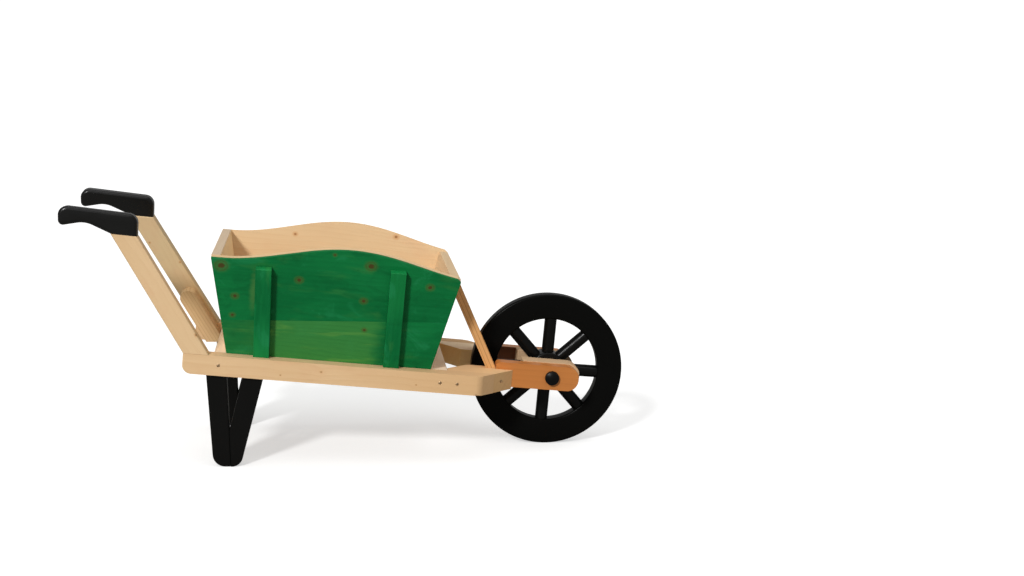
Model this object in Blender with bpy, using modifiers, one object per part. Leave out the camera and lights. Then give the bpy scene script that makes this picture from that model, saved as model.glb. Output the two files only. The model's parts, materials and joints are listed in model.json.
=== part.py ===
"""Wooden garden wheelbarrow, built from separate boards.

Metres, +Z up. +X points forwards to the wheel and +Y to the pusher's left. The origin is on the
ground, under the middle of the object. Most pieces hang from the "barrow" empty, which is
AXLE_HEIGHT below the axle, so their lengths and heights follow the wheel's axle line.
"""
import math

import bmesh
import bpy
from mathutils import Vector

# Whole object
AXLE_X = 0.51515                # axle ahead of the object's middle
AXLE_HEIGHT = 0.200             # axle above the barrow frame's zero
GAP = 0.0003                    # between pieces that touch
SIDES = {"left": 1, "right": -1}

# Wheel
WHEEL_RADIUS = 0.2037
GROUND = AXLE_HEIGHT - WHEEL_RADIUS     # the ground, in the barrow frame
RIM_INNER_RADIUS = 0.1375
RIM_THICKNESS = 0.040
RIM_EDGE_RADIUS = 0.006
HUB_RADIUS = 0.048
HUB_LENGTH = 0.064
HUB_EDGE_RADIUS = 0.004
SPOKE_COUNT = 8
SPOKE_RADIUS = 0.0163
SPOKE_TURN = math.radians(4.1)  # of the first spoke, forwards from upright
TENON_RADIUS = 0.010
TENON_DEPTH = 0.015
AXLE_RADIUS = 0.010
WHEEL_STEPS = 64                # facets round the wheel, a multiple of SPOKE_COUNT
BORE_STEPS = 24

# Deck: the plane of the side beams' tops, which drops towards the wheel
DECK_HEIGHT = 0.2127            # in the barrow frame, at the axle line
DECK_TILT = math.radians(4.8)
BEAM_HEIGHT = 0.0505
BEAM_INNER = 0.180              # distance of the inner face from the middle plane
BEAM_OUTER = 0.225
BEAM_REAR = -0.942
BEAM_REAR_ROUNDING = 0.022
NOSE_OUTER_X = -0.198           # where the diagonal nose face leaves the beam's outer face
NOSE_INNER_X = -0.158           # and where it passes the beam's inner face
NOSE_TIP_X = -0.104             # and its front end, against the fork plate
NOSE_CORNER_X = -0.222          # where the block's inner edge turns out towards the rail
NOSE_INNER_Y = 0.093            # the block's inner edge, from the middle plane
NOSE_REAR_Y = 0.154             # and where it meets the rail
REAR_RAIL = (-0.869, -0.803)
FRONT_RAIL = (-0.363, -0.279)

# Box on the deck
PANEL_THICKNESS = 0.022
FLOOR_THICKNESS = 0.018
FLARE = math.radians(13.6)      # side panels lean outwards
BOX_FOOT = 0.185                # outer bottom edge of a side panel from the middle plane
BOX_REAR_FOOT = -0.839
BOX_FRONT_FOOT = -0.3235
BOX_REAR_TOP = -0.891
BOX_FRONT_TOP = -0.275
REAR_CORNER_HEIGHT = 0.255      # up the side panel's slope
FRONT_CORNER_HEIGHT = 0.246
CROWN_RISE = 0.0542
CROWN_CENTRE = -0.542
CROWN_HALF_LENGTH = 0.334
CROWN_STEPS = 32
SIDE_JOINT_HEIGHT = 0.121       # joint between the two boards of a side panel
SIDE_JOINT_CENTRE = -0.470
SIDE_JOINT_SLOPE = 0.078
END_JOINT_HEIGHT = 0.122
BATTEN_WIDTH = 0.040
BATTEN_THICKNESS = 0.020
BATTENS = {"rear": ((-0.7515, 0.006), (-0.7615, 0.244)), "front": ((-0.4265, 0.008), (-0.4326, 0.265))}

# Handles
POST_FOOT_HEIGHT = 0.289
POST_OUTER = 0.2248             # outer face at the post's foot
POST_LEAN = math.radians(3.7)   # inwards
POST_THICKNESS = 0.043
POST_SLOPE = -0.585             # metres back for each metre up
POST_REAR_FOOT = -0.9375
POST_FRONT_FOOT = -0.8775
GRIP_THICKNESS = 0.040
GRIP_ROUNDING = 0.009
GRIP_JOINT_FRONT = (-1.0475, 0.5795)
GRIP_JOINT_REAR = (-1.1085, 0.5853)
DOUBLER_WIDTH = 0.0486          # along X
DOUBLER_SET_BACK = 0.0075
DOUBLER_TOP = 0.394
DOUBLER_BOTTOM = 0.247
DOUBLER_FRONT = -0.872

# Legs
LEG_THICKNESS = 0.040
LEG_CENTRE = 0.194

# Fork, parallel to the deck
FORK_CENTRE = 0.101             # of a fork plate, from the middle plane
FORK_THICKNESS = 0.034
FORK_BOTTOM = -0.0325            # below the axle
FORK_TOP = 0.0315
FORK_REAR = -0.150
FORK_FRONT = 0.0715
FORK_NOSE_RADIUS = 0.030
BLOCK_INNER = 0.036
BLOCK_REAR = -0.075
BLOCK_FRONT = 0.078
BLOCK_RISE = 0.002              # block's top above the fork plate's
WASHER_RADIUS = 0.020
CAP_RADIUS = 0.0187
CAP_HEIGHT = 0.014
CAP_SIDE = 0.008                # straight part, below the dome
STRUT_WIDTH = 0.028
STRUT_DEPTH = 0.0258            # along X
STRUT_LEAN_OUT = math.radians(3.1)
STRUT_SLOPE = -0.44
STRUT_FRONT_FOOT = -0.1476
STRUT_FOOT_HEIGHT = 0.227

# Screws
SCREW_HEAD_RADIUS = 0.004
SCREW_HEAD_DEPTH = 0.0025
SCREW_SHANK_RADIUS = 0.002
SCREW_LENGTH = 0.062
SCREW_HEIGHT = -0.024           # below the deck plane
BEAM_SCREWS = {"rear_rail": -0.854, "front_rail": -0.300, "nose_block": -0.2565}
FORK_SCREW = (-0.1365, 0.153)

REACH = 0.5                     # cutters run this far past what they cut
UPRIGHT = (math.radians(90), 0, 0)

FINISHES = {
    "green_paint": ((0.0, 0.16, 0.045), 0.45, 0.0),
    "bare_pine": ((0.72, 0.52, 0.28), 0.60, 0.0),
    "varnished_wood": ((0.58, 0.24, 0.07), 0.30, 0.0),
    "black_gloss": ((0.01, 0.01, 0.011), 0.22, 0.0),
    "steel": ((0.55, 0.55, 0.53), 0.35, 1.0),
}


def new_collection(name):
    """Make a collection under the scene."""
    collection = bpy.data.collections.new(name)
    bpy.context.scene.collection.children.link(collection)
    return collection


def empty(name, parent, location, rotation=(0, 0, 0)):
    """A frame that pieces hang from."""
    frame = bpy.data.objects.new(name, None)
    frame.parent = parent
    frame.location = location
    frame.rotation_euler = rotation
    parts.objects.link(frame)
    return frame


def finish(piece, kind):
    """Give a piece its own Principled material."""
    colour, roughness, metallic = FINISHES[kind]
    material = bpy.data.materials.new(piece.name + "_" + kind)
    material.use_nodes = True
    shader = material.node_tree.nodes["Principled BSDF"]
    shader.inputs["Base Color"].default_value = (*colour, 1)
    shader.inputs["Roughness"].default_value = roughness
    shader.inputs["Metallic"].default_value = metallic
    piece.data.materials.clear()
    piece.data.materials.append(material)


def place(name, mesh, parent, location=(0, 0, 0), rotation=(0, 0, 0), collection=None):
    """Put a mesh in its parent's frame."""
    piece = bpy.data.objects.new(name, mesh)
    piece.parent = parent
    piece.location = location
    piece.rotation_euler = rotation
    (collection or parts).objects.link(piece)
    return piece


def box_mesh(name, low, high):
    """A box between two opposite corners."""
    low = Vector(low)
    high = Vector(high)
    mesh = bpy.data.meshes.new(name)
    shape = bmesh.new()
    bmesh.ops.create_cube(shape, size=1)
    bmesh.ops.scale(shape, verts=shape.verts, vec=high - low)
    bmesh.ops.translate(shape, verts=shape.verts, vec=(low + high) / 2)
    shape.to_mesh(mesh)
    shape.free()
    return mesh


def board(name, low, high, parent, kind):
    """A straight board between two opposite corners."""
    piece = place(name, box_mesh(name, low, high), parent)
    finish(piece, kind)
    return piece


def cutter(name, low, high, parent):
    """A box that trims pieces and isn't part of the object."""
    tool = place(name, box_mesh(name, low, high), parent, collection=cutters)
    tool.hide_render = True
    tool.display_type = "WIRE"
    return tool


def trim(piece, *tools):
    """Cut a piece with each tool."""
    for tool in tools:
        cut = piece.modifiers.new("trim " + tool.name, "BOOLEAN")
        cut.operation = "DIFFERENCE"
        cut.object = tool


def rounded(corners, steps=7):
    """An outline whose corners (a, b, radius) are rounded with arcs."""
    outline = []
    for index, (a, b, radius) in enumerate(corners):
        corner = Vector((a, b))
        if not radius:
            outline.append((a, b))
            continue
        before = (Vector(corners[index - 1][:2]) - corner).normalized()
        after = (Vector(corners[(index + 1) % len(corners)][:2]) - corner).normalized()
        half_angle = before.angle(after) / 2
        centre = corner + (before + after).normalized() * radius / math.sin(half_angle)
        first = corner + before * radius / math.tan(half_angle) - centre
        last = corner + after * radius / math.tan(half_angle) - centre
        sweep = first.angle(last)
        for step in range(steps + 1):
            share = step / steps
            point = (first * math.sin((1 - share) * sweep) + last * math.sin(share * sweep)) / math.sin(sweep)
            outline.append(tuple(centre + point))
    return outline


def outline_mesh(name, outline, thickness):
    """A flat outline given thickness, as a welded mesh."""
    curve = bpy.data.curves.new(name, "CURVE")
    curve.dimensions = "2D"
    curve.fill_mode = "BOTH"
    curve.extrude = thickness / 2
    spline = curve.splines.new("POLY")
    spline.points.add(len(outline) - 1)
    for point, (a, b) in zip(spline.points, outline):
        point.co = (a, b, 0, 1)
    spline.use_cyclic_u = True
    drawing = bpy.data.objects.new(name, curve)
    parts.objects.link(drawing)
    evaluated = drawing.evaluated_get(bpy.context.evaluated_depsgraph_get())
    mesh = bpy.data.meshes.new_from_object(evaluated)
    bpy.data.objects.remove(drawing)
    bpy.data.curves.remove(curve)
    mesh.name = name
    shape = bmesh.new()
    shape.from_mesh(mesh)
    bmesh.ops.remove_doubles(shape, verts=shape.verts, dist=0.00001)
    shape.to_mesh(mesh)
    shape.free()
    return mesh


def upright_plate(name, outline, thickness, centre_y, parent, kind):
    """A board whose outline is seen from the side: (x, z) points, thickness along Y."""
    mesh = outline_mesh(name, outline, thickness)
    piece = place(name, mesh, parent, (0, centre_y, 0), UPRIGHT)
    finish(piece, kind)
    return piece


def turned_mesh(name, profile, closed):
    """The line that a turned shape is made from: (radius, height) points, outer side downwards."""
    mesh = bpy.data.meshes.new(name)
    shape = bmesh.new()
    points = [shape.verts.new((radius, 0, height)) for radius, height in profile]
    for first, second in zip(points, points[1:] + points[:1] if closed else points[1:]):
        shape.edges.new((first, second))
    shape.to_mesh(mesh)
    shape.free()
    return mesh


def turn(piece, steps):
    """Turn a profile about its own Z axis."""
    lathe = piece.modifiers.new("turned", "SCREW")
    lathe.steps = steps
    lathe.render_steps = steps
    lathe.use_merge_vertices = True
    lathe.merge_threshold = 0.00001
    lathe.use_smooth_shade = True


def turned(name, profile, steps, parent, kind, location=(0, 0, 0), rotation=UPRIGHT, closed=False):
    """A turned piece, whose axis lies along Y unless it is rotated another way."""
    piece = place(name, turned_mesh(name, profile, closed), parent, location, rotation)
    turn(piece, steps)
    if kind:
        finish(piece, kind)
    return piece


def turned_cutter(name, profile, steps, parent, location=(0, 0, 0), rotation=UPRIGHT):
    """A turned shape that only cuts."""
    tool = turned(name, profile, steps, parent, None, location, rotation)
    parts.objects.unlink(tool)
    cutters.objects.link(tool)
    tool.hide_render = True
    tool.display_type = "WIRE"
    return tool


def rod_profile(radius, low, high):
    """Profile of a plain cylinder."""
    return [(0, high), (radius, high), (radius, low), (0, low)]


def ring_profile(inner, outer, half_height, rounding=0):
    """Closed profile of a ring with rounded edges."""
    if not rounding:
        return [(outer, half_height), (outer, -half_height), (inner, -half_height), (inner, half_height)]
    corners = [
        (outer, half_height, rounding), (outer, -half_height, rounding),
        (inner, -half_height, rounding), (inner, half_height, rounding),
    ]
    return rounded(corners, 2)


def rounded_rectangle(low, high, rear_low=0, rear_high=0, front_high=0, front_low=0):
    """Outline between two opposite corners, each corner with its own radius."""
    return rounded([
        (low[0], low[1], rear_low), (low[0], high[1], rear_high),
        (high[0], high[1], front_high), (high[0], low[1], front_low),
    ])


def side_beam(side, sign):
    """A long beam, its front end cut along the diagonal nose face."""
    plan = [
        (BEAM_REAR, sign * BEAM_INNER), (BEAM_REAR, sign * BEAM_OUTER),
        (NOSE_OUTER_X, sign * BEAM_OUTER), (NOSE_INNER_X, sign * BEAM_INNER),
    ]
    name = "side_beam_" + side
    mesh = outline_mesh(name, plan, BEAM_HEIGHT)
    shape = bmesh.new()
    shape.from_mesh(mesh)
    for edge in list(shape.edges):
        low_rear = all(v.co.x < BEAM_REAR + GAP and v.co.z < 0 for v in edge.verts)
        if low_rear:
            bmesh.ops.bevel(shape, geom=[edge], offset=BEAM_REAR_ROUNDING, segments=8, profile=0.5,
                            affect="EDGES")
            break
    shape.to_mesh(mesh)
    shape.free()
    beam = place(name, mesh, deck, (0, 0, -BEAM_HEIGHT / 2))
    finish(beam, "bare_pine")
    return beam


def cross_rail(name, ends):
    """A rail between the beams, flush with their tops."""
    inner = BEAM_INNER - GAP
    return board(name, (ends[0], -inner, -BEAM_HEIGHT), (ends[1], inner, 0), deck, "bare_pine")


def nose_block(side, sign):
    """The corner block between beam, front rail and fork plate, seen from above."""
    notch = FORK_CENTRE + FORK_THICKNESS / 2 + GAP
    inner = NOSE_INNER_Y
    rear = FRONT_RAIL[1] + GAP
    plan = [
        (rear, BEAM_INNER - GAP), (NOSE_INNER_X - GAP, BEAM_INNER - GAP), (NOSE_TIP_X, notch),
        (FORK_REAR, notch), (FORK_REAR, inner), (NOSE_CORNER_X, inner), (rear, NOSE_REAR_Y),
    ]
    name = "nose_block_" + side
    mesh = outline_mesh(name, [(x, sign * y) for x, y in plan], BEAM_HEIGHT)
    block = place(name, mesh, deck, (0, 0, -BEAM_HEIGHT / 2))
    finish(block, "bare_pine")
    return block


def legs(side, sign):
    """Two boards in a narrow V, with their tops against the underside of the beam."""
    above_beam = cutter("leg_top_" + side, (-1.2, -REACH, -BEAM_HEIGHT - GAP), (0, REACH, REACH), deck)
    rear_outline = rounded([
        (-0.8853, 0.250, 0), (-0.8346, 0.250, 0), (-0.8240, GROUND, 0), (-0.8678, GROUND, 0.0315),
    ])
    front_outline = rounded([
        (-0.7877, 0.250, 0), (-0.7367, 0.250, 0), (-0.8006, GROUND, 0.0285), (-0.8237, GROUND, 0),
        (-0.8277, 0.0917, 0),
    ])
    for name, outline in (("leg_rear_board_", rear_outline), ("leg_front_board_", front_outline)):
        leg = upright_plate(name + side, outline, LEG_THICKNESS, sign * LEG_CENTRE, barrow, "black_gloss")
        trim(leg, above_beam)


def post_and_grip(side, sign):
    """Handle post, the doubler on its inner face and the grip on its top, in a frame that leans inwards."""
    foot = (0, sign * POST_OUTER, POST_FOOT_HEIGHT)
    frame = empty("post_frame_" + side, barrow, foot, (sign * POST_LEAN, 0, 0))

    def at(x, z):
        """A point of an outline, from its real height."""
        return (x, (z - POST_FOOT_HEIGHT) / math.cos(POST_LEAN))

    def on_post(foot_x, z):
        """A point of an edge that runs parallel to the post."""
        return at(foot_x + POST_SLOPE * (z - POST_FOOT_HEIGHT), z)

    joint_run = Vector((GRIP_JOINT_FRONT[0] - GRIP_JOINT_REAR[0], GRIP_JOINT_FRONT[1] - GRIP_JOINT_REAR[1]))
    joint_tilt = math.atan2(-joint_run.y, joint_run.x)
    joint_x, joint_z = at(*GRIP_JOINT_REAR)
    joint = empty("grip_joint_" + side, frame, (joint_x, 0, joint_z), (0, joint_tilt, 0))
    above_joint = cutter("above_joint_" + side, (-0.3, -REACH, -GAP / 2), (0.3, REACH, 0.3), joint)
    below_joint = cutter("below_joint_" + side, (-0.3, -REACH, -0.3), (0.3, REACH, GAP / 2), joint)

    post_outline = [
        on_post(POST_REAR_FOOT, 0.27), on_post(POST_REAR_FOOT, 0.61),
        on_post(POST_FRONT_FOOT, 0.61), on_post(POST_FRONT_FOOT, 0.27),
    ]
    post = upright_plate("handle_post_" + side, post_outline, POST_THICKNESS, -sign * POST_THICKNESS / 2,
                         frame, "bare_pine")
    trim(post, below_deck, above_joint)

    doubler_foot = POST_FRONT_FOOT - DOUBLER_SET_BACK
    front_meets = POST_FOOT_HEIGHT + (DOUBLER_FRONT - doubler_foot) / POST_SLOPE
    corners = [
        (*at(DOUBLER_FRONT, DOUBLER_BOTTOM), 0.012),
        (*at(DOUBLER_FRONT, front_meets), 0),
        (*on_post(doubler_foot, DOUBLER_TOP - 0.010), 0.018),
        (*on_post(doubler_foot - DOUBLER_WIDTH, DOUBLER_TOP + 0.012), 0.020),
        (*on_post(doubler_foot - DOUBLER_WIDTH, DOUBLER_BOTTOM), 0),
    ]
    doubler = upright_plate("post_doubler_" + side, rounded(corners), POST_THICKNESS,
                            -sign * (1.5 * POST_THICKNESS + GAP), frame, "bare_pine")
    beam_room = sorted((sign * (BEAM_INNER - GAP), sign * REACH))
    beam_clearance = cutter("beam_room_" + side, (-1.2, beam_room[0], -0.3), (0, beam_room[1], GAP), deck)
    trim(doubler, beam_clearance)

    corners = [
        (*at(-1.0484, 0.555), 0),
        (*at(-1.0455, 0.6325), 0.022),
        (*at(-1.2340, 0.6550), 0.020),
        (*at(-1.2340, 0.6052), 0.012),
        (*at(-1.1720, 0.6155), 0.060),
        (*at(-1.0752, 0.5683), 0),
    ]
    grip = upright_plate("hand_grip_" + side, rounded(corners), GRIP_THICKNESS,
                         -sign * GRIP_THICKNESS / 2, frame, "black_gloss")
    rounding = grip.modifiers.new("rounded edges", "BEVEL")
    rounding.width = GRIP_ROUNDING
    rounding.segments = 3
    rounding.limit_method = "ANGLE"
    rounding.angle_limit = math.radians(60)
    trim(grip, below_joint)


def crown(x):
    """Height of a side panel's top edge, up its slope: a hump on a straight line."""
    share = (x - BOX_REAR_TOP) / (BOX_FRONT_TOP - BOX_REAR_TOP)
    height = REAR_CORNER_HEIGHT + share * (FRONT_CORNER_HEIGHT - REAR_CORNER_HEIGHT)
    offset = abs(x - CROWN_CENTRE) / CROWN_HALF_LENGTH
    if offset < 1:
        height += CROWN_RISE * (1 + math.cos(math.pi * offset)) / 2
    return height


def side_end(height, foot, top, top_height):
    """Where a side panel's sloping end edge is at a height."""
    return foot + (top - foot) * height / top_height


def side_panel(side, sign):
    """Two boards and two battens, in a frame that leans outwards."""
    frame = side_frames[side]

    def rear(height):
        return side_end(height, BOX_REAR_FOOT, BOX_REAR_TOP, REAR_CORNER_HEIGHT)

    def front(height):
        return side_end(height, BOX_FRONT_FOOT, BOX_FRONT_TOP, FRONT_CORNER_HEIGHT)

    def joint(x):
        return SIDE_JOINT_HEIGHT + SIDE_JOINT_SLOPE * (x - SIDE_JOINT_CENTRE)

    joint_rear = rear(joint(-0.857))
    joint_front = front(joint(-0.297))
    foot_height = -0.010
    lower = [
        (rear(foot_height), foot_height), (front(foot_height), foot_height),
        (joint_front, joint(joint_front) - GAP / 2), (joint_rear, joint(joint_rear) - GAP / 2),
    ]
    upper = [
        (joint_rear, joint(joint_rear) + GAP / 2), (joint_front, joint(joint_front) + GAP / 2),
        (BOX_FRONT_TOP, FRONT_CORNER_HEIGHT),
    ]
    for step in range(CROWN_STEPS + 1):
        front_end = min(CROWN_CENTRE + CROWN_HALF_LENGTH, BOX_FRONT_TOP - 0.008)
        x = front_end + (CROWN_CENTRE - CROWN_HALF_LENGTH - front_end) * step / CROWN_STEPS
        upper.append((x, crown(x)))
    upper.append((BOX_REAR_TOP, REAR_CORNER_HEIGHT))
    centre = -sign * PANEL_THICKNESS / 2
    for level, outline in (("lower", lower), ("upper", upper)):
        panel = upright_plate(f"side_board_{level}_{side}", outline, PANEL_THICKNESS, centre, frame, "green_paint")
        trim(panel, below_deck)

    for place_name, (foot, top) in BATTENS.items():
        run = (Vector(top) - Vector(foot)).normalized()
        across = Vector((run.y, -run.x)) * BATTEN_WIDTH / 2
        foot = Vector(foot) - run * 0.026
        outline = [tuple(foot - across), tuple(foot + across), tuple(Vector(top) + across), tuple(Vector(top) - across)]
        centre = sign * (BATTEN_THICKNESS / 2 + GAP)
        batten = upright_plate(f"batten_{place_name}_{side}", outline, BATTEN_THICKNESS, centre, frame, "green_paint")
        trim(batten, below_deck)


def end_panel(end, frame, thickness_range, corner_height, side_tools):
    """Two boards between the side panels, cut level with the inner arrises of the side panels' corners."""
    low_x, high_x = thickness_range
    level = corner_height * math.cos(FLARE) + PANEL_THICKNESS * math.sin(FLARE)
    above = cutter("above_" + end, (-1.2, -REACH, level), (0.1, REACH, REACH), deck)
    for name, low_z, high_z in (("lower", -0.010, END_JOINT_HEIGHT - GAP / 2),
                                ("upper", END_JOINT_HEIGHT + GAP / 2, corner_height + 0.04)):
        panel = board(f"{end}_board_{name}", (low_x, -0.3, low_z), (high_x, 0.3, high_z), frame, "bare_pine")
        trim(panel, below_deck, *side_tools)
        if name == "upper":
            trim(panel, above)


def fork(side, sign):
    """Fork plate, axle block, washer, cap and the strut behind them."""
    outline = rounded_rectangle((FORK_REAR, FORK_BOTTOM), (FORK_FRONT, FORK_TOP),
                                0.003, 0.011, FORK_NOSE_RADIUS, FORK_NOSE_RADIUS)
    fork_plate = upright_plate("fork_plate_" + side, outline, FORK_THICKNESS, sign * FORK_CENTRE, arms,
                               "varnished_wood")
    block_outer = FORK_CENTRE - FORK_THICKNESS / 2 - GAP
    outline = rounded_rectangle((BLOCK_REAR, FORK_BOTTOM), (BLOCK_FRONT, FORK_TOP + BLOCK_RISE),
                                0.003, 0.003, FORK_NOSE_RADIUS, FORK_NOSE_RADIUS)
    block = upright_plate("axle_block_" + side, outline, block_outer - BLOCK_INNER,
                          sign * (block_outer + BLOCK_INNER) / 2, arms, "bare_pine")
    trim(fork_plate, axle_bore)
    trim(block, axle_bore)

    washer_half = (BLOCK_INNER - HUB_LENGTH / 2) / 2 - GAP
    washer_y = sign * (BLOCK_INNER + HUB_LENGTH / 2) / 2
    turned("axle_washer_" + side, ring_profile(AXLE_RADIUS + GAP, WASHER_RADIUS, washer_half), BORE_STEPS,
           wheel_axis, "steel", (0, washer_y, 0), closed=True)

    dome = [(0, CAP_HEIGHT)]
    rise = CAP_HEIGHT - CAP_SIDE
    dome_radius = (CAP_RADIUS ** 2 + rise ** 2) / (2 * rise)
    for step in range(1, 7):
        radius = CAP_RADIUS * step / 6
        dome.append((radius, CAP_HEIGHT - dome_radius + math.sqrt(dome_radius ** 2 - radius ** 2)))
    dome += [(CAP_RADIUS, 0), (0, 0)]
    outer_face = FORK_CENTRE + FORK_THICKNESS / 2 + GAP
    turned("axle_cap_" + side, dome, BORE_STEPS, wheel_axis, "black_gloss", (0, sign * outer_face, 0),
           (-sign * math.radians(90), 0, 0))

    foot = (0, sign * FORK_CENTRE, STRUT_FOOT_HEIGHT)
    frame = empty("strut_frame_" + side, barrow, foot, (-sign * STRUT_LEAN_OUT, 0, 0))
    outline = []
    for x, z in ((STRUT_FRONT_FOOT - STRUT_DEPTH, -0.03), (STRUT_FRONT_FOOT, -0.03),
                 (STRUT_FRONT_FOOT, 0.26), (STRUT_FRONT_FOOT - STRUT_DEPTH, 0.26)):
        outline.append((x + STRUT_SLOPE * z, z))
    strut = upright_plate("strut_" + side, outline, STRUT_WIDTH, 0, frame, "bare_pine")
    trim(strut, below_deck, strut_notch, behind_front_panel)
    return fork_plate


def wheel():
    """Rim, hub and eight spokes, whose tenons sit in holes in both."""
    rim = turned("wheel_rim", ring_profile(RIM_INNER_RADIUS, WHEEL_RADIUS, RIM_THICKNESS / 2, RIM_EDGE_RADIUS),
                 WHEEL_STEPS, wheel_axis, "black_gloss", closed=True)
    hub = turned("wheel_hub", ring_profile(AXLE_RADIUS + GAP, HUB_RADIUS, HUB_LENGTH / 2, HUB_EDGE_RADIUS),
                 WHEEL_STEPS, wheel_axis, "black_gloss", closed=True)
    hub_room = turned_cutter("hub_room", rod_profile(HUB_RADIUS + GAP, -REACH, REACH), WHEEL_STEPS, wheel_axis)
    rim_room = turned_cutter("rim_room", ring_profile(RIM_INNER_RADIUS - GAP, REACH, REACH), WHEEL_STEPS, wheel_axis)
    tenon_inner = HUB_RADIUS - TENON_DEPTH
    tenon_outer = RIM_INNER_RADIUS + TENON_DEPTH
    for index in range(SPOKE_COUNT):
        turned_by = (0, SPOKE_TURN + 2 * math.pi * index / SPOKE_COUNT, 0)
        tenons = turned_cutter(f"tenon_{index}", rod_profile(TENON_RADIUS, tenon_inner, tenon_outer), BORE_STEPS,
                               wheel_axis, rotation=turned_by)
        sockets = turned_cutter(f"sockets_{index}",
                                rod_profile(TENON_RADIUS + GAP, tenon_inner - GAP, tenon_outer + GAP),
                                BORE_STEPS, wheel_axis, rotation=turned_by)
        spoke = turned(f"wheel_spoke_{index + 1}", rod_profile(SPOKE_RADIUS, HUB_RADIUS - 0.008, RIM_INNER_RADIUS),
                       BORE_STEPS, wheel_axis, "black_gloss", rotation=turned_by)
        trim(spoke, hub_room, rim_room)
        join = spoke.modifiers.new("tenons", "BOOLEAN")
        join.operation = "UNION"
        join.object = tenons
        trim(rim, sockets)
        trim(hub, sockets)


def screw(name, location, rotation, pieces):
    """A countersunk wood screw along its own Z axis, in a hole through the pieces that it joins."""
    neck = SCREW_HEAD_DEPTH + SCREW_HEAD_RADIUS - SCREW_SHANK_RADIUS
    profile = [
        (0, 0), (SCREW_HEAD_RADIUS, 0), (SCREW_HEAD_RADIUS, -SCREW_HEAD_DEPTH),
        (SCREW_SHANK_RADIUS, -neck), (SCREW_SHANK_RADIUS, -SCREW_LENGTH), (0, -SCREW_LENGTH - 0.002),
    ]
    steps = 16
    turned(name, profile, steps, deck, "steel", location, rotation)
    hole = [
        (0, 0.02), (SCREW_HEAD_RADIUS + GAP, 0.02), (SCREW_HEAD_RADIUS + GAP, -SCREW_HEAD_DEPTH - GAP),
        (SCREW_SHANK_RADIUS + GAP, -neck - GAP), (SCREW_SHANK_RADIUS + GAP, -SCREW_LENGTH - 0.003),
        (0, -SCREW_LENGTH - 0.003),
    ]
    tool = turned_cutter(name + "_hole", hole, steps, deck, location, rotation)
    for piece in pieces:
        trim(piece, tool)


for old in list(bpy.data.objects):
    bpy.data.objects.remove(old)
parts = new_collection("wooden_wheelbarrow")
cutters = new_collection("cutters")

barrow = empty("barrow", None, (AXLE_X, 0, -GROUND))
deck = empty("deck", barrow, (0, 0, DECK_HEIGHT), (0, DECK_TILT, 0))
arms = empty("arms", barrow, (0, 0, AXLE_HEIGHT), (0, DECK_TILT, 0))
wheel_axis = empty("wheel_axis", barrow, (0, 0, AXLE_HEIGHT))
side_frames = {
    side: empty("side_frame_" + side, deck, (0, sign * BOX_FOOT, 0), (-sign * FLARE, 0, 0))
    for side, sign in SIDES.items()
}
rear_rise = REAR_CORNER_HEIGHT * math.cos(FLARE)
front_rise = FRONT_CORNER_HEIGHT * math.cos(FLARE)
rear_tilt = math.atan2(BOX_REAR_TOP - BOX_REAR_FOOT, rear_rise)
front_tilt = math.atan2(BOX_FRONT_TOP - BOX_FRONT_FOOT, front_rise)
rear_frame = empty("rear_frame", deck, (BOX_REAR_FOOT, 0, 0), (0, rear_tilt, 0))
front_frame = empty("front_frame", deck, (BOX_FRONT_FOOT, 0, 0), (0, front_tilt, 0))

below_deck = cutter("below_deck", (-1.2, -REACH, -0.3), (0.2, REACH, GAP), deck)
outside_left = cutter("outside_left", (-1.2, -PANEL_THICKNESS - GAP, -0.2), (0.1, REACH, REACH), side_frames["left"])
outside_right = cutter("outside_right", (-1.2, -REACH, -0.2), (0.1, PANEL_THICKNESS + GAP, REACH), side_frames["right"])
behind_box = cutter("behind_box", (-REACH, -REACH, -0.2), (PANEL_THICKNESS + GAP, REACH, REACH), rear_frame)
ahead_of_box = cutter("ahead_of_box", (-PANEL_THICKNESS - GAP, -REACH, -0.2), (REACH, REACH, REACH), front_frame)
behind_front_panel = cutter("behind_front_panel", (-REACH, -REACH, -0.2), (GAP, REACH, REACH), front_frame)
strut_notch = cutter("strut_notch", (FORK_REAR - GAP, -REACH, -0.1), (0, REACH, FORK_TOP + 0.001), arms)
axle_bore = turned_cutter("axle_bore", rod_profile(AXLE_RADIUS + GAP, -REACH, REACH), BORE_STEPS, wheel_axis)

rear_rail = cross_rail("rear_cross_rail", REAR_RAIL)
front_rail = cross_rail("front_cross_rail", FRONT_RAIL)
end_tools = (outside_left, outside_right)
end_panel("rear", rear_frame, (0, PANEL_THICKNESS), REAR_CORNER_HEIGHT, end_tools)
end_panel("front", front_frame, (-PANEL_THICKNESS, 0), FRONT_CORNER_HEIGHT, end_tools)
for side, sign in SIDES.items():
    beam = side_beam(side, sign)
    block = nose_block(side, sign)
    legs(side, sign)
    post_and_grip(side, sign)
    side_panel(side, sign)
    near, far = sorted((sign * GAP / 2, sign * 0.2))
    floor_board = board("floor_board_" + side, (-0.9, near, GAP), (-0.25, far, FLOOR_THICKNESS), deck, "bare_pine")
    trim(floor_board, *end_tools, behind_box, ahead_of_box)
    fork_plate = fork(side, sign)
    inwards = (-sign * math.radians(90), 0, 0)
    joined = {"rear_rail": rear_rail, "front_rail": front_rail, "nose_block": block}
    for where, x in BEAM_SCREWS.items():
        screw(f"screw_{where}_{side}", (x, sign * BEAM_OUTER, SCREW_HEIGHT), inwards, (beam, joined[where]))
    fork_screw_place = (FORK_SCREW[0], sign * FORK_SCREW[1], SCREW_HEIGHT)
    screw(f"screw_fork_{side}", fork_screw_place, inwards, (block, fork_plate))
wheel()
turned("axle", rod_profile(AXLE_RADIUS, -FORK_CENTRE - FORK_THICKNESS / 2, FORK_CENTRE + FORK_THICKNESS / 2),
       BORE_STEPS, wheel_axis, "steel")
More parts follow.
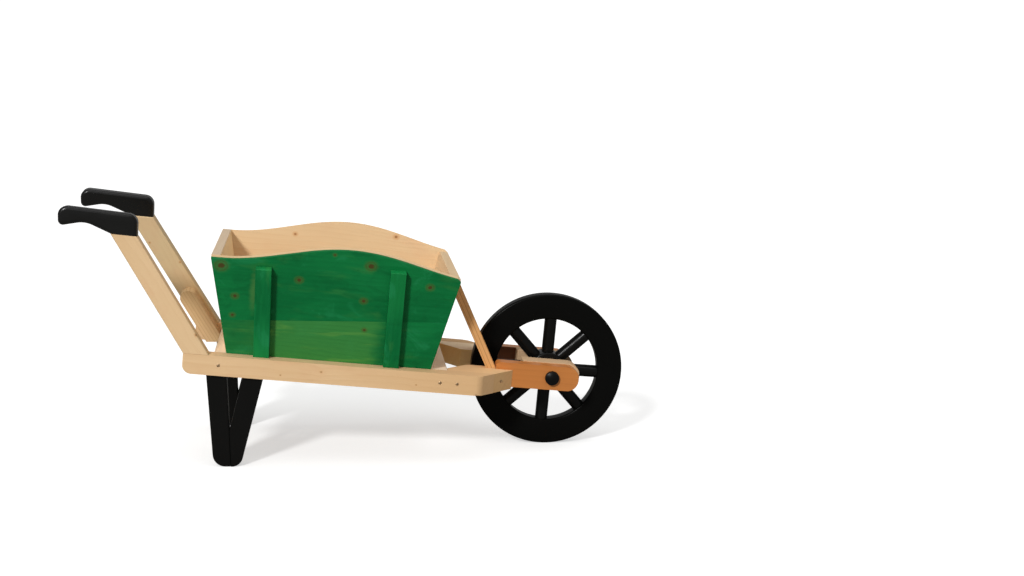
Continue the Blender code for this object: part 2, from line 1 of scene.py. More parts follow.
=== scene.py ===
"""The looks of the wooden wheelbarrow: timbers with rounded arrises, painted boards and a turned wheel."""
import json
import math
import random

import bmesh
import bpy
from mathutils import Matrix, Vector
from mathutils.bvhtree import BVHTree


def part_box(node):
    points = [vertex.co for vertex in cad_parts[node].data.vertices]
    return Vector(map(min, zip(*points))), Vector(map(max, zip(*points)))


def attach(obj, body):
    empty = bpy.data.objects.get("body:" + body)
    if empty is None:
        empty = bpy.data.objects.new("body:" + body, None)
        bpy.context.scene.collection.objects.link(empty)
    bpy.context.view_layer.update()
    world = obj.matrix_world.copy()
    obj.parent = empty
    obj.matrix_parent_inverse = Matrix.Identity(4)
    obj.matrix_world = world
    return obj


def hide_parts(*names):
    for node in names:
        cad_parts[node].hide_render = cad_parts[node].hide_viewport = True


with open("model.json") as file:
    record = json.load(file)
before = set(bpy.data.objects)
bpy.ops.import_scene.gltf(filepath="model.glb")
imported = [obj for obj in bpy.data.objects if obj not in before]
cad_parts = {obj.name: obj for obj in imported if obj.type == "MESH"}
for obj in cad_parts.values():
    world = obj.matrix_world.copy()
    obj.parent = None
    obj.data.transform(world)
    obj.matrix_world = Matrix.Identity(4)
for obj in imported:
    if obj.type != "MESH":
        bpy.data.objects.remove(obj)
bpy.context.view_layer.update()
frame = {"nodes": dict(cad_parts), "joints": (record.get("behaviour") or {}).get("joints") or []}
cad_nodes = frame["nodes"]
axle_point = Vector(frame["joints"][0]["pos_m"])

SIDES = {"left": 1, "right": -1}
QUARTER = math.radians(90)

# Sizes in metres. The barrow's own frame is forwards, left and up from a point AXLE_HEIGHT below the axle.
AXLE_HEIGHT = 0.200
DECK_HEIGHT = 0.2127
DECK_TILT = math.radians(4.8)   # down towards the wheel
FLARE = math.radians(13.6)      # of the side panels, from the vertical
BOX_FOOT = 0.185
BEAM_OUTER = 0.225
NOSE_OUTER_X = -0.198
POST_FOOT_HEIGHT = 0.289
POST_OUTER = 0.2248
POST_LEAN = math.radians(3.7)   # inwards
POST_TILT = math.radians(30.3)  # backwards
STRUT_TILT = math.radians(23.7)
LEG_TILTS = {"rear": math.radians(4), "front": math.radians(-14.3)}

# Wheel and axle
WHEEL_RADIUS = 0.2037
RIM_INNER_RADIUS = 0.1375
RIM_HALF_WIDTH = 0.020
RIM_EDGE = 0.006
RIM_INNER_EDGE = 0.005
PLY_GROOVE = 0.0004
PLY_GROOVES_AT = (0.0065, -0.0065)
HUB_RADIUS = 0.048
HUB_HALF_WIDTH = 0.032
HUB_EDGE = 0.005
HUB_BORE = 0.0105
SPOKE_RADIUS = 0.0163
SPOKE_TURN = math.radians(4.1)
SPOKE_COUNT = 8
SPOKE_INTO_HUB = 0.004
SPOKE_INTO_RIM = 0.002
TURNED_STEPS = {"rim": 160, "hub": 96, "spoke": 40, "fitting": 48, "screw": 24}
EDGE_STEPS = {"tread": 6, "inner": 5, "hub": 5}
DOME_SHARE = 0.42               # of an axle cap's height
DOME_STEPS = 10
DOME_INSET = 0.0008
CAP_EDGE = 0.0018
WASHER_BORE = 0.0103
WASHER_EDGE = 0.0005

# Screws
HEAD_RADIUS = 0.004
HEAD_FACE_RADIUS = 0.0034
HEAD_TOP = 0.0004               # depths between which the head is at its full radius
HEAD_BOTTOM = 0.0010
NECK_RADIUS = 0.002
NECK_DEPTH = 0.0045
SHANK_RADIUS = 0.0018
POINT_LENGTH = 0.004
RECESS = (0.0048, 0.0009, 0.0036)
FIRST_TURN = 0.4                # the recesses are turned by where the screw is, in radians to the metre
TURN_PER_METRE = 9

# Hand grips
GRIP_THICKNESS = 0.040
GRIP_ROUNDING = 0.009
GRIP_LAYERS = 7
GRIP_ARC_STEPS = 14
GRIP_JOINT_FRONT = (-1.0475, 0.5795)
GRIP_JOINT_REAR = (-1.1085, 0.5853)
GRIP_CORNERS = (                # x, height and corner radius
    (-1.0484, 0.555, 0), (-1.0455, 0.6325, 0.024), (-1.2362, 0.6553, 0.022), (-1.2362, 0.6040, 0.012),
    (-1.1720, 0.6143, 0.060), (-1.0752, 0.5683, 0),
)

# Edges of the timbers
ARRIS = {"timber": 0.003, "board": 0.0012, "batten": 0.002, "strut": 0.0015, "fork": 0.0045, "floor": 0.001}
ARRIS_STEPS = 3
JOINT_SHARE = 0.12              # of an arris, where another piece lies against it
LEG_JOINT_SHARE = 0.02
SHORTEST_ROUNDED = 0.0023
ROUNDED_FROM = math.radians(25)
FLAT_WITHIN = math.radians(0.6)
WELD = 0.00001
TIMBER_SHARP_FROM = math.radians(32)
TURNED_SHARP_FROM = math.radians(40)
TOUCH = 0.0015                  # pieces this close lie against each other
WORN = 0.011                    # radius of a worn corner
WORN_STEPS = 6

# Where the wood has its features, in each board's own frame. A knot is (x, y, radius[, Z of its face]).
BATTENS_X = (-0.76, -0.44)
SMEAR = (-0.781, 0.175)
PALE_SHARE = {"lower": 0.75, "upper": 0.0}
PAINTED_EDGE = 0.009            # how far the green runs over the boards' edges
BEAM_DEEPENS = (-0.60, -0.25)
BEAM_KNOTS = ((-0.60, -0.020, 0.0022), (-0.36, -0.034, 0.0016), (-0.70, -0.036, 0.0016))
POST_FACE = 0.0215
POST_KNOTS = {
    "right": ((0.131, 0.0245, 0.0034, POST_FACE), (0.04, -0.006, 0.004, -POST_FACE)),
    "left": ((-0.096, -0.0184, 0.0022, POST_FACE), (-0.010, 0.0225, 0.0022, POST_FACE),
             (0.04, -0.006, 0.004, -POST_FACE)),
}
KNOTS = {
    "right": ((-0.865, 0.237, 0.0085), (-0.827, 0.159, 0.005), (-0.830, 0.107, 0.004),
              (-0.674, 0.216, 0.0055), (-0.501, 0.269, 0.0075), (-0.511, 0.174, 0.0052),
              (-0.502, 0.095, 0.004), (-0.350, 0.226, 0.0055), (-0.592, 0.291, 0.0028)),
    "left": ((-0.696, 0.258, 0.0045), (-0.420, 0.275, 0.0055), (-0.668, 0.214, 0.003),
             (-0.810, 0.170, 0.0060), (-0.560, 0.150, 0.0050), (-0.380, 0.160, 0.0055),
             (-0.745, 0.070, 0.0045), (-0.470, 0.060, 0.0040)),
}

# Colours are display colours, 0 to 255. Each kind of pine has a light and a dark tone.
PINE = {
    "plain": ((238, 203, 158), (214, 168, 116)),
    "side board": ((226, 196, 153), (207, 168, 121)),
    # The nose blocks' tops and sides are lit and shaded copies of one pine: painted light on the tops,
    # painted shade on the sides. The left block's tones are painted paler, lifting the box's shade over it.
    "right nose lit top": ((234, 194, 144), (212, 166, 112)),
    "left nose lit top": ((255, 234, 200), (248, 210, 164)),
    "right nose shaded sides": ((226, 184, 130), (202, 154, 98)),
    "left nose shaded sides": ((242, 202, 140), (232, 182, 116)),
    "right post": ((231, 198, 154), (213, 173, 125)),
    "left post": ((218, 194, 152), (200, 168, 124)),
    "doubler": ((226, 194, 146), (204, 164, 114)),
    "strut": ((224, 172, 113), (202, 144, 83)),
    "axle block": ((212, 178, 139), (190, 150, 110)),
    "front panel": ((224, 196, 156), (206, 170, 128)),
    # Painted light: the rear panel's tones are paler than its wood, lifting the shade on the inside of the
    # box.
    "rear panel": ((255, 232, 184), (255, 208, 150)),
    "sawn edge": ((216, 193, 164), (198, 170, 138)),
    # Painted light: the cross rails' tones are paler than their wood, lifting the box's shade on them.
    "cross rail": ((255, 236, 208), (252, 220, 182)),
}
BLUSH = (214, 150, 112)
PLY_LINE = (150, 92, 46)
KNOT_HALO = (206, 150, 92)
KNOT_HEART = (140, 92, 50)
GREEN = {
    "board": (12, 122, 62), "rear batten": (24, 142, 72), "front batten": (16, 124, 62),
    # The battens' side faces have a darker copy of the green: painted shade.
    "batten shaded sides": (8, 66, 36),
    "thick": (4, 108, 54), "stroke": (26, 134, 76), "blotch": (64, 138, 66), "cloud": (34, 142, 86),
    "shade": (2, 94, 46), "pale": (66, 142, 66), "pale streak": (104, 164, 72), "late wood": (0, 84, 40),
    "smear": (78, 136, 70), "edge": (16, 112, 56), "knot halo": (84, 110, 44), "knot ring": (70, 62, 26),
    "knot heart": (80, 54, 26),
}
BLACK = (11, 11, 10)
DUST = (60, 56, 50)
# The fork plates' inner faces use a darker copy of the varnish: painted shade.
VARNISH = {"outside": ((204, 132, 66), (196, 122, 60)), "inside": ((128, 76, 44), (104, 60, 36))}
VARNISHED_RINGS = (170, 96, 44)
VARNISHED_FIBRES = (168, 98, 46)
STEEL = {"plated": ((104, 92, 76), (160, 148, 128)), "brassy": ((176, 142, 104), (226, 198, 160))}
PITH = {                        # middle of the growth rings, from the middle of the board's frame
    "plain": (0, 0.03, 0.05), "beam": (0, 0.12, 0.07), "nose": (0, 0.02, 0.06), "post": (0, 0.05, 0.09),
    "panel": (0, 0.06, 0.03), "varnished": (0, 0.02, 0.05),
}
PLIES = {"doubler": (125, 0.26), "strut": (110, 0.5)}      # to the metre, and how strong their lines are
WAVE_PERIOD = 0.314             # bands of the wave texture are this far apart at scale 1

# Camera, in metres and millimetres of lens
CAMERA_AZIMUTH = math.radians(-6.87)
CAMERA_ELEVATION = math.radians(10.12)
CAMERA_DISTANCE = 4.182
CAMERA_TARGET = Vector((0.41815, -0.001, 0.4217))
CAMERA_ROLL = math.radians(1.40)
CAMERA_LENS = 55.3
SENSOR_WIDTH = 36

# Light
WHITE = (1, 1, 1, 1)
FILL = 0.36
BACKDROP = 1.1
LIGHTS = {                      # strength, spread and direction of travel
    "key": (2.08, math.radians(8), Vector((0.41, 0.74, -0.53))),
    "overhead": (0.70, math.radians(50), Vector((-0.10, 0.15, -1.0))),
}
FLOOR_SIZE = 40
FLOOR_TONES = ((212, 212, 211), (216, 216, 215))
FLOOR_GLOW = 0.53
FLOOR_BOUNCE = (0.36, 0.35, 0.33, 1)

# First seeds of the random draws
SEEDS = {"boards": 100, "timbers": 200, "grips": 300, "ends": 400, "wheel": 500, "axle": 600, "screws": 700}
SIDE_SEEDS = 40                 # between the seeds of the two sides
BOARD_SEEDS = 11                # between the seeds of a side's boards
BATTEN_SEEDS = 5
END_SEEDS = 7


def srgb(red, green, blue):
    """A display colour, 0 to 255, as the linear colour that shaders use."""
    shares = (red / 255, green / 255, blue / 255)
    linear = (((share + 0.055) / 1.055) ** 2.4 if share > 0.04045 else share / 12.92 for share in shares)
    return (*linear, 1.0)


# ---------------------------------------------------------------- shader helpers

def add_node(tree, kind, inputs=None, **settings):
    """Add a node, set its properties, and fill its inputs with values or linked sockets."""
    made = tree.nodes.new(kind)
    for key, setting in settings.items():
        setattr(made, key, setting)
    for key, source in (inputs or {}).items():
        if isinstance(source, bpy.types.NodeSocket):
            tree.links.new(source, made.inputs[key])
        else:
            made.inputs[key].default_value = source
    return made


def math_node(tree, operation, first, second=0.0, clamp=False):
    """A number worked out from two others."""
    return add_node(tree, "ShaderNodeMath", {0: first, 1: second}, operation=operation,
                    use_clamp=clamp).outputs[0]


def vector_node(tree, operation, first, second=(0, 0, 0)):
    """A vector worked out from two others."""
    return add_node(tree, "ShaderNodeVectorMath", {0: first, 1: second}, operation=operation).outputs[0]


def length_node(tree, vector):
    """A vector's length."""
    return add_node(tree, "ShaderNodeVectorMath", {0: vector}, operation="LENGTH").outputs["Value"]


def parts_of(tree, vector):
    """A vector's X, Y and Z sockets."""
    return add_node(tree, "ShaderNodeSeparateXYZ", {0: vector}).outputs


def scaled(tree, vector, factors):
    """A vector with each direction stretched."""
    return vector_node(tree, "MULTIPLY", vector, factors)


def noise(tree, vector, scale, detail=3.0, roughness=0.5, distortion=0.0):
    """Noise between 0 and 1."""
    inputs = {"Vector": vector, "Scale": scale, "Detail": detail, "Roughness": roughness,
              "Distortion": distortion}
    return add_node(tree, "ShaderNodeTexNoise", inputs).outputs[0]


def streaky(tree, place, lengthwise, crosswise, detail=3.0, roughness=0.5, distortion=0.0):
    """Noise with its own fineness along the grain and across it."""
    stretched = scaled(tree, place, (lengthwise, crosswise, crosswise))
    return noise(tree, stretched, 1.0, detail, roughness, distortion)


def span(tree, value, low, high):
    """A number stretched so that low becomes 0 and high becomes 1, smoothly."""
    inputs = {"Value": value, "From Min": low, "From Max": high}
    return add_node(tree, "ShaderNodeMapRange", inputs, interpolation_type="SMOOTHSTEP").outputs[0]


def mix(tree, share, first, second):
    """Two colours mixed."""
    return add_node(tree, "ShaderNodeMixRGB", {0: share, 1: first, 2: second}).outputs[0]


def tint(tree, colour, share, strength, display_colour):
    """A colour with a display colour laid over it, by a share times a strength."""
    return mix(tree, math_node(tree, "MULTIPLY", share, strength), colour, srgb(*display_colour))


def bump(tree, shader, *layers):
    """Surface relief from (height socket, depth in metres) layers."""
    normal = None
    for height, depth in layers:
        inputs = {"Height": height, "Distance": depth, "Strength": 1.0}
        if normal:
            inputs["Normal"] = normal
        normal = add_node(tree, "ShaderNodeBump", inputs).outputs[0]
    tree.links.new(normal, shader.inputs["Normal"])


def new_material(name, **constants):
    """A Principled material whose constant inputs are set on the shader itself."""
    material = bpy.data.materials.new(name)
    material.use_nodes = True
    shader = material.node_tree.nodes["Principled BSDF"]
    for key, setting in constants.items():
        shader.inputs[key.replace("_", " ")].default_value = setting
    return material, material.node_tree, shader


def own_place(tree):
    """The point on the piece: X along the grain, Y across it, Z through the board."""
    return add_node(tree, "ShaderNodeTexCoord").outputs["Object"]


def shifted_place(tree, seed):
    """The point on the piece moved by a random amount, so that each piece has its own noise."""
    dice = random.Random(seed)
    shift = tuple(dice.uniform(-20, 20) for _ in range(3))
    return vector_node(tree, "ADD", own_place(tree), shift)


# ---------------------------------------------------------------- materials

def knot_distance(tree, point, knots):
    """Distance to the nearest knot, counted in that knot's radius, or None without knots.

    A knot (x, y, radius) runs through the board, and one with a fourth value stays near that Z.
    """
    nearest = None
    for x, y, radius, *face in knots:
        offset = vector_node(tree, "SUBTRACT", point, (x, y, face[0] if face else 0))
        offset = scaled(tree, offset, (1 / radius, 1.15 / radius, 0.8 / radius if face else 0))
        distance = length_node(tree, offset)
        nearest = distance if nearest is None else math_node(tree, "MINIMUM", nearest, distance)
    return nearest


def grain(tree, point, shifted, pith, nearest=None):
    """Growth rings and fibres of a board, each 0 to 1. The rings swirl round the nearest knot."""
    lift = math_node(tree, "MULTIPLY", streaky(tree, shifted, 1.3, 7, 2.0), 0.06)
    if nearest:
        swirl = math_node(tree, "DIVIDE", 0.014, math_node(tree, "ADD", nearest, 0.7))
        lift = math_node(tree, "ADD", lift, swirl)
    lifted = add_node(tree, "ShaderNodeCombineXYZ", {1: lift, 2: lift}).outputs[0]
    ring_place = vector_node(tree, "ADD", scaled(tree, point, (0.05, 1, 1)), PITH[pith])
    ring_place = vector_node(tree, "ADD", ring_place, lifted)
    inputs = {"Vector": ring_place, "Scale": 26.0, "Distortion": 2.5, "Detail": 2.0, "Detail Scale": 0.7}
    rings = add_node(tree, "ShaderNodeTexWave", inputs, wave_type="RINGS", rings_direction="X",
                     wave_profile="SAW").outputs["Fac"]
    return rings, streaky(tree, shifted, 5, 190, 4.0, 0.62)


def broad_tone(tree, shifted):
    """Slow changes of tone over a board, smoothly from 0 to 1."""
    return span(tree, streaky(tree, shifted, 2.2, 5, 2.0), 0.3, 0.7)


def pine(name, seed, kind="plain", knots=(), pith="plain", plies=None, deepens=None, paint_depth=0.0):
    """Planed, unpainted pine.

    plies is the number of glued plies to the metre and the strength of the lines between them. deepens is a
    pair of places along the grain between which the tone goes darker. paint_depth is how far from Z = 0 the
    green of a painted face runs over the board's edges.
    """
    light, dark = PINE[kind]
    material, tree, shader = new_material(name, Roughness=0.62, Specular_IOR_Level=0.2)
    point = own_place(tree)
    shifted = shifted_place(tree, seed)
    nearest = knot_distance(tree, point, knots)
    rings, fibres = grain(tree, point, shifted, pith, nearest)
    late = math_node(tree, "POWER", rings, 2.6)
    flecks = streaky(tree, shifted, 14, 420, 2.0)
    tone = math_node(tree, "MULTIPLY", late, 0.12)
    for layer, strength in ((fibres, 0.30), (flecks, 0.16), (broad_tone(tree, shifted), 0.30)):
        tone = math_node(tree, "ADD", tone, math_node(tree, "MULTIPLY", layer, strength))
    colour = mix(tree, math_node(tree, "SUBTRACT", tone, 0.16, True), srgb(*light), srgb(*dark))
    blush = streaky(tree, shifted, 9, 16, 3.0, 0.6)
    colour = tint(tree, colour, span(tree, blush, 0.5, 0.72), 0.14, BLUSH)
    if deepens:
        colour = tint(tree, colour, span(tree, parts_of(tree, point)[0], *deepens), 0.55, dark)
    if plies:
        count, strength = plies
        inputs = {"Vector": point, "Scale": count * WAVE_PERIOD, "Distortion": 0.5, "Detail": 1.0,
                  "Detail Scale": 0.4}
        lines = add_node(tree, "ShaderNodeTexWave", inputs, bands_direction="Y").outputs["Fac"]
        colour = tint(tree, colour, span(tree, lines, 0.80, 0.99), strength, PLY_LINE)
    if paint_depth:
        depth = math_node(tree, "ABSOLUTE", parts_of(tree, point)[2])
        ragged = math_node(tree, "ADD", depth, math_node(tree, "MULTIPLY", blush, 0.004))
        covered = span(tree, ragged, paint_depth + 0.003, paint_depth + 0.001)
        colour = mix(tree, covered, colour, srgb(*GREEN["edge"]))
    if nearest:
        colour = tint(tree, colour, span(tree, nearest, 2.4, 1.0), 0.5, KNOT_HALO)
        colour = tint(tree, colour, span(tree, nearest, 1.0, 0.5), 0.75, KNOT_HEART)
    tree.links.new(colour, shader.inputs["Base Color"])
    bump(tree, shader, (fibres, 0.0005), (late, 0.0002))
    return material


def painted_green(name, seed, kind="board", knots=(), pale=0.0, smear=None):
    """Thin green paint, brushed along the grain, with the knots showing.

    pale lets the wood show through between the battens, and smear is the place of a thinly painted spot.
    """
    material, tree, shader = new_material(name, Roughness=0.45, Specular_IOR_Level=0.12)
    point = own_place(tree)
    shifted = shifted_place(tree, seed)
    nearest = knot_distance(tree, point, knots)
    rings, fibres = grain(tree, point, shifted, "plain", nearest)
    strokes = streaky(tree, shifted, 6, 90, 5.0, 0.6)
    patches = streaky(tree, shifted, 4.5, 9, 3.0, 0.55, 0.6)
    blotches = streaky(tree, shifted, 8, 24, 3.0, 0.55, 0.4)
    clouds = streaky(tree, shifted, 11, 17, 4.0, 0.6, 0.8)
    colour = mix(tree, span(tree, patches, 0.34, 0.66), srgb(*GREEN["thick"]), srgb(*GREEN[kind]))
    colour = tint(tree, colour, span(tree, strokes, 0.45, 0.75), 0.24, GREEN["stroke"])
    colour = tint(tree, colour, span(tree, blotches, 0.56, 0.72), 0.30, GREEN["blotch"])
    colour = tint(tree, colour, span(tree, clouds, 0.53, 0.68), 0.50, GREEN["cloud"])
    colour = tint(tree, colour, span(tree, clouds, 0.47, 0.33), 0.45, GREEN["shade"])
    if pale:
        rear, front = BATTENS_X
        wander = math_node(tree, "MULTIPLY", math_node(tree, "SUBTRACT", blotches, 0.5), 0.10)
        wandering = math_node(tree, "ADD", parts_of(tree, point)[0], wander)
        past_rear = span(tree, wandering, rear - 0.06, rear + 0.06)
        past_rear = math_node(tree, "MULTIPLY", math_node(tree, "ADD", past_rear, 0.2, True), pale)
        reach = math_node(tree, "MULTIPLY", span(tree, wandering, front, front - 0.05), past_rear)
        colour = mix(tree, reach, colour, srgb(*GREEN["pale"]))
        streaks = span(tree, streaky(tree, shifted, 7, 45, 3.0, 0.5, 0.5), 0.55, 0.72)
        colour = tint(tree, colour, math_node(tree, "MULTIPLY", streaks, reach), 0.8, GREEN["pale streak"])
    colour = tint(tree, colour, math_node(tree, "POWER", rings, 3.0), 0.14, GREEN["late wood"])
    if smear:
        offset = scaled(tree, vector_node(tree, "SUBTRACT", point, (*smear, 0)), (80, 17, 0))
        worn = math_node(tree, "ADD", length_node(tree, offset), math_node(tree, "MULTIPLY", strokes, 0.9))
        colour = tint(tree, colour, span(tree, worn, 1.7, 0.7), 0.75, GREEN["smear"])
    if nearest:
        ragged = math_node(tree, "MULTIPLY", noise(tree, shifted, 140.0, 2.0), 0.7)
        nearest = math_node(tree, "ADD", nearest, ragged)
        colour = tint(tree, colour, span(tree, nearest, 3.4, 1.6), 0.45, GREEN["knot halo"])
        ring = math_node(tree, "MULTIPLY", span(tree, nearest, 2.35, 2.1), span(tree, nearest, 1.75, 2.0))
        colour = tint(tree, colour, ring, 0.35, GREEN["knot ring"])
        colour = tint(tree, colour, span(tree, nearest, 1.7, 0.9), 0.85, GREEN["knot heart"])
    tree.links.new(colour, shader.inputs["Base Color"])
    sheen = math_node(tree, "ADD", math_node(tree, "MULTIPLY", strokes, 0.2), 0.36)
    tree.links.new(sheen, shader.inputs["Roughness"])
    bump(tree, shader, (strokes, 0.0006), (fibres, 0.0003))
    return material


def black_gloss(name, seed, dust=0.0, roughness=0.22, shine=0.14):
    """Thick gloss black paint, with a little dust where it wears."""
    material, tree, shader = new_material(name, Roughness=roughness, Specular_IOR_Level=shine)
    shifted = shifted_place(tree, seed)
    ripple = streaky(tree, shifted, 14, 30)
    specks = noise(tree, shifted, 90.0, 4.0, 0.65)
    colour = tint(tree, srgb(*BLACK), span(tree, specks, 0.62, 0.78), 0.06 + dust, DUST)
    tree.links.new(colour, shader.inputs["Base Color"])
    sheen = math_node(tree, "ADD", math_node(tree, "MULTIPLY", ripple, 0.16), roughness)
    tree.links.new(sheen, shader.inputs["Roughness"])
    bump(tree, shader, (ripple, 0.0010), (specks, 0.00008))
    return material


def varnished(name, seed, kind="outside"):
    """Orange-brown varnish over close-grained wood."""
    light, dark = VARNISH[kind]
    material, tree, shader = new_material(name, Roughness=0.34, Specular_IOR_Level=0.35)
    shifted = shifted_place(tree, seed)
    rings, fibres = grain(tree, own_place(tree), shifted, "varnished")
    colour = mix(tree, broad_tone(tree, shifted), srgb(*light), srgb(*dark))
    colour = tint(tree, colour, math_node(tree, "POWER", rings, 2.0), 0.16, VARNISHED_RINGS)
    colour = tint(tree, colour, span(tree, fibres, 0.5, 0.75), 0.25, VARNISHED_FIBRES)
    tree.links.new(colour, shader.inputs["Base Color"])
    bump(tree, shader, (fibres, 0.0002))
    return material


def steel(name, seed, kind="plated"):
    """Plated steel with fine scratches and dull spots."""
    dark, light = STEEL[kind]
    material, tree, shader = new_material(name, Metallic=1.0, Roughness=0.38)
    cloud = noise(tree, shifted_place(tree, seed), 160.0, 4.0, 0.6)
    tree.links.new(mix(tree, cloud, srgb(*dark), srgb(*light)), shader.inputs["Base Color"])
    sheen = math_node(tree, "ADD", math_node(tree, "MULTIPLY", cloud, 0.3), 0.25)
    tree.links.new(sheen, shader.inputs["Roughness"])
    bump(tree, shader, (cloud, 0.00005))
    return material


# ---------------------------------------------------------------- frames that pieces are made in

def about(axis, angle):
    """A turn about X, Y or Z."""
    return Matrix.Rotation(angle, 4, axis)


barrow = Matrix.Translation(axle_point - Vector((0, 0, AXLE_HEIGHT)))
deck = barrow @ Matrix.Translation((0, 0, DECK_HEIGHT)) @ about("Y", DECK_TILT)
arms = Matrix.Translation(axle_point) @ about("Y", DECK_TILT)


def side_frame(sign):
    """The plane of a flared side panel: X forwards, Y up its slope, Z through it."""
    leaned = deck @ Matrix.Translation((0, sign * BOX_FOOT, 0)) @ about("X", -sign * FLARE)
    return leaned @ about("X", QUARTER)


def node_centre(node):
    """The middle of a CAD node's box."""
    low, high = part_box(node)
    return (low + high) / 2


def along(node, tilt, lean=0.0):
    """A frame at a node's middle: X along a board that leans by tilt from the vertical, Z through it."""
    upright = Matrix.Translation(node_centre(node)) @ about("X", lean) @ about("Y", QUARTER - tilt)
    return upright @ about("X", QUARTER)


# ---------------------------------------------------------------- making pieces

def mesh_from(shape, name):
    """A finished shape as a mesh."""
    mesh = bpy.data.meshes.new(name)
    shape.to_mesh(mesh)
    shape.free()
    return mesh


def in_scene(name, mesh, matrix):
    """A new object in the scene."""
    piece = bpy.data.objects.new(name, mesh)
    bpy.context.scene.collection.objects.link(piece)
    piece.matrix_world = matrix
    return piece


def shade(mesh, sharp_from):
    """Smooth shading with sharp edges from an angle upwards."""
    mesh.shade_smooth()
    mesh.set_sharp_from_angle(angle=sharp_from)


def second_material(piece, material, chosen):
    """Give a piece another material on the faces whose normals are chosen."""
    piece.data.materials.append(material)
    for polygon in piece.data.polygons:
        polygon.material_index = 1 if chosen(polygon.normal) else 0


def settle(piece):
    """Make a piece's modifiers part of its mesh."""
    evaluated = piece.evaluated_get(bpy.context.evaluated_depsgraph_get())
    mesh = bpy.data.meshes.new_from_object(evaluated)
    piece.modifiers.clear()
    piece.data = mesh


# ---------------------------------------------------------------- timbers

def surface_of(node):
    """A search tree over a CAD node's surface."""
    mesh = cad_nodes[node].data
    mesh.calc_loop_triangles()
    points = [vertex.co for vertex in mesh.vertices]
    return BVHTree.FromPolygons(points, [tuple(triangle.vertices) for triangle in mesh.loop_triangles])


surfaces = {node: surface_of(node) for node in cad_nodes}
boxes = {node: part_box(node) for node in cad_nodes}


def near_boxes(node):
    """The nodes whose boxes come close to this one's."""
    low, high = boxes[node]
    found = []
    for other, (other_low, other_high) in boxes.items():
        apart = any(low[i] > other_high[i] + TOUCH or other_low[i] > high[i] + TOUCH for i in range(3))
        if other != node and not apart:
            found.append(other)
    return found


def shared(edge, neighbours):
    """How much of an edge lies against another piece, from 0 to 1."""
    samples = 9
    hits = 0
    start, end = (vertex.co for vertex in edge.verts)
    for step in range(samples):
        point = start.lerp(end, (step + 0.5) / samples)
        hits += any(surfaces[other].find_nearest(point, TOUCH)[0] for other in neighbours)
    return hits / samples


def timber(node, matrix, material, arris=ARRIS["timber"], joint_share=JOINT_SHARE,
           soft_corner=None):
    """A CAD board with its arrises rounded where nothing lies against them.

    soft_corner is the place, in the board's frame, of an edge along its Y that is worn round.
    """
    shape = bmesh.new()
    shape.from_mesh(cad_nodes[node].data)
    bmesh.ops.remove_doubles(shape, verts=shape.verts, dist=WELD)
    bmesh.ops.dissolve_limit(shape, angle_limit=FLAT_WITHIN, verts=shape.verts, edges=shape.edges)
    if soft_corner:
        to_board = matrix.inverted()
        worn = [edge for edge in shape.edges
                if all(((to_board @ vertex.co).xz - soft_corner).length < TOUCH for vertex in edge.verts)]
        bmesh.ops.bevel(shape, geom=worn, offset=WORN, segments=WORN_STEPS, profile=0.5, affect="EDGES")
    shape.normal_update()
    weight = shape.edges.layers.float.new("bevel_weight_edge")
    neighbours = near_boxes(node)
    for edge in shape.edges:
        if len(edge.link_faces) != 2 or edge.calc_face_angle() < ROUNDED_FROM or not edge.is_convex:
            continue
        if edge.calc_length() < SHORTEST_ROUNDED:
            continue
        edge[weight] = joint_share if shared(edge, neighbours) > 0.5 else 1.0
    shape.transform(matrix.inverted())
    piece = in_scene(node + "_timber", mesh_from(shape, node + "_detail"), matrix)
    shade(piece.data, TIMBER_SHARP_FROM)
    rounding = piece.modifiers.new("arrises", "BEVEL")
    rounding.limit_method = "WEIGHT"
    rounding.width = arris
    rounding.segments = ARRIS_STEPS
    rounding.use_clamp_overlap = True
    even = piece.modifiers.new("even normals", "WEIGHTED_NORMAL")
    even.keep_sharp = True
    piece.data.materials.append(material)
    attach(piece, "barrow")
    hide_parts(node)
    return piece


def side_boards(side, sign, seed):
    """Boards that are painted outside and bare inside and along their top edges and ends."""
    matrix = side_frame(sign)
    for level, pale in PALE_SHARE.items():
        node = f"side_board_{level}_{side}"
        bare = pine(node + "_pine", seed, "side board", KNOTS[side], paint_depth=PAINTED_EDGE)
        paint = painted_green(node + "_green", seed + 3, "board", KNOTS[side], pale, SMEAR)
        board = timber(node, matrix, bare, ARRIS["board"])
        # the panel's own Z points away from the box's middle on the right and towards it on the left
        second_material(board, paint, lambda normal: normal.z * -sign > 0.7)
        seed += BOARD_SEEDS
    upwards = matrix @ about("Z", QUARTER)
    for place in ("rear", "front"):
        node = f"batten_{place}_{side}"
        paint = painted_green(node + "_green", seed, place + " batten")
        batten = timber(node, upwards, paint, ARRIS["batten"])
        # The battens' side faces take the darker green: painted shade.
        second_material(batten, painted_green(node + "_shaded_sides", seed, "batten shaded sides"),
                        lambda normal: abs(normal.y) > 0.7)
        seed += BATTEN_SEEDS


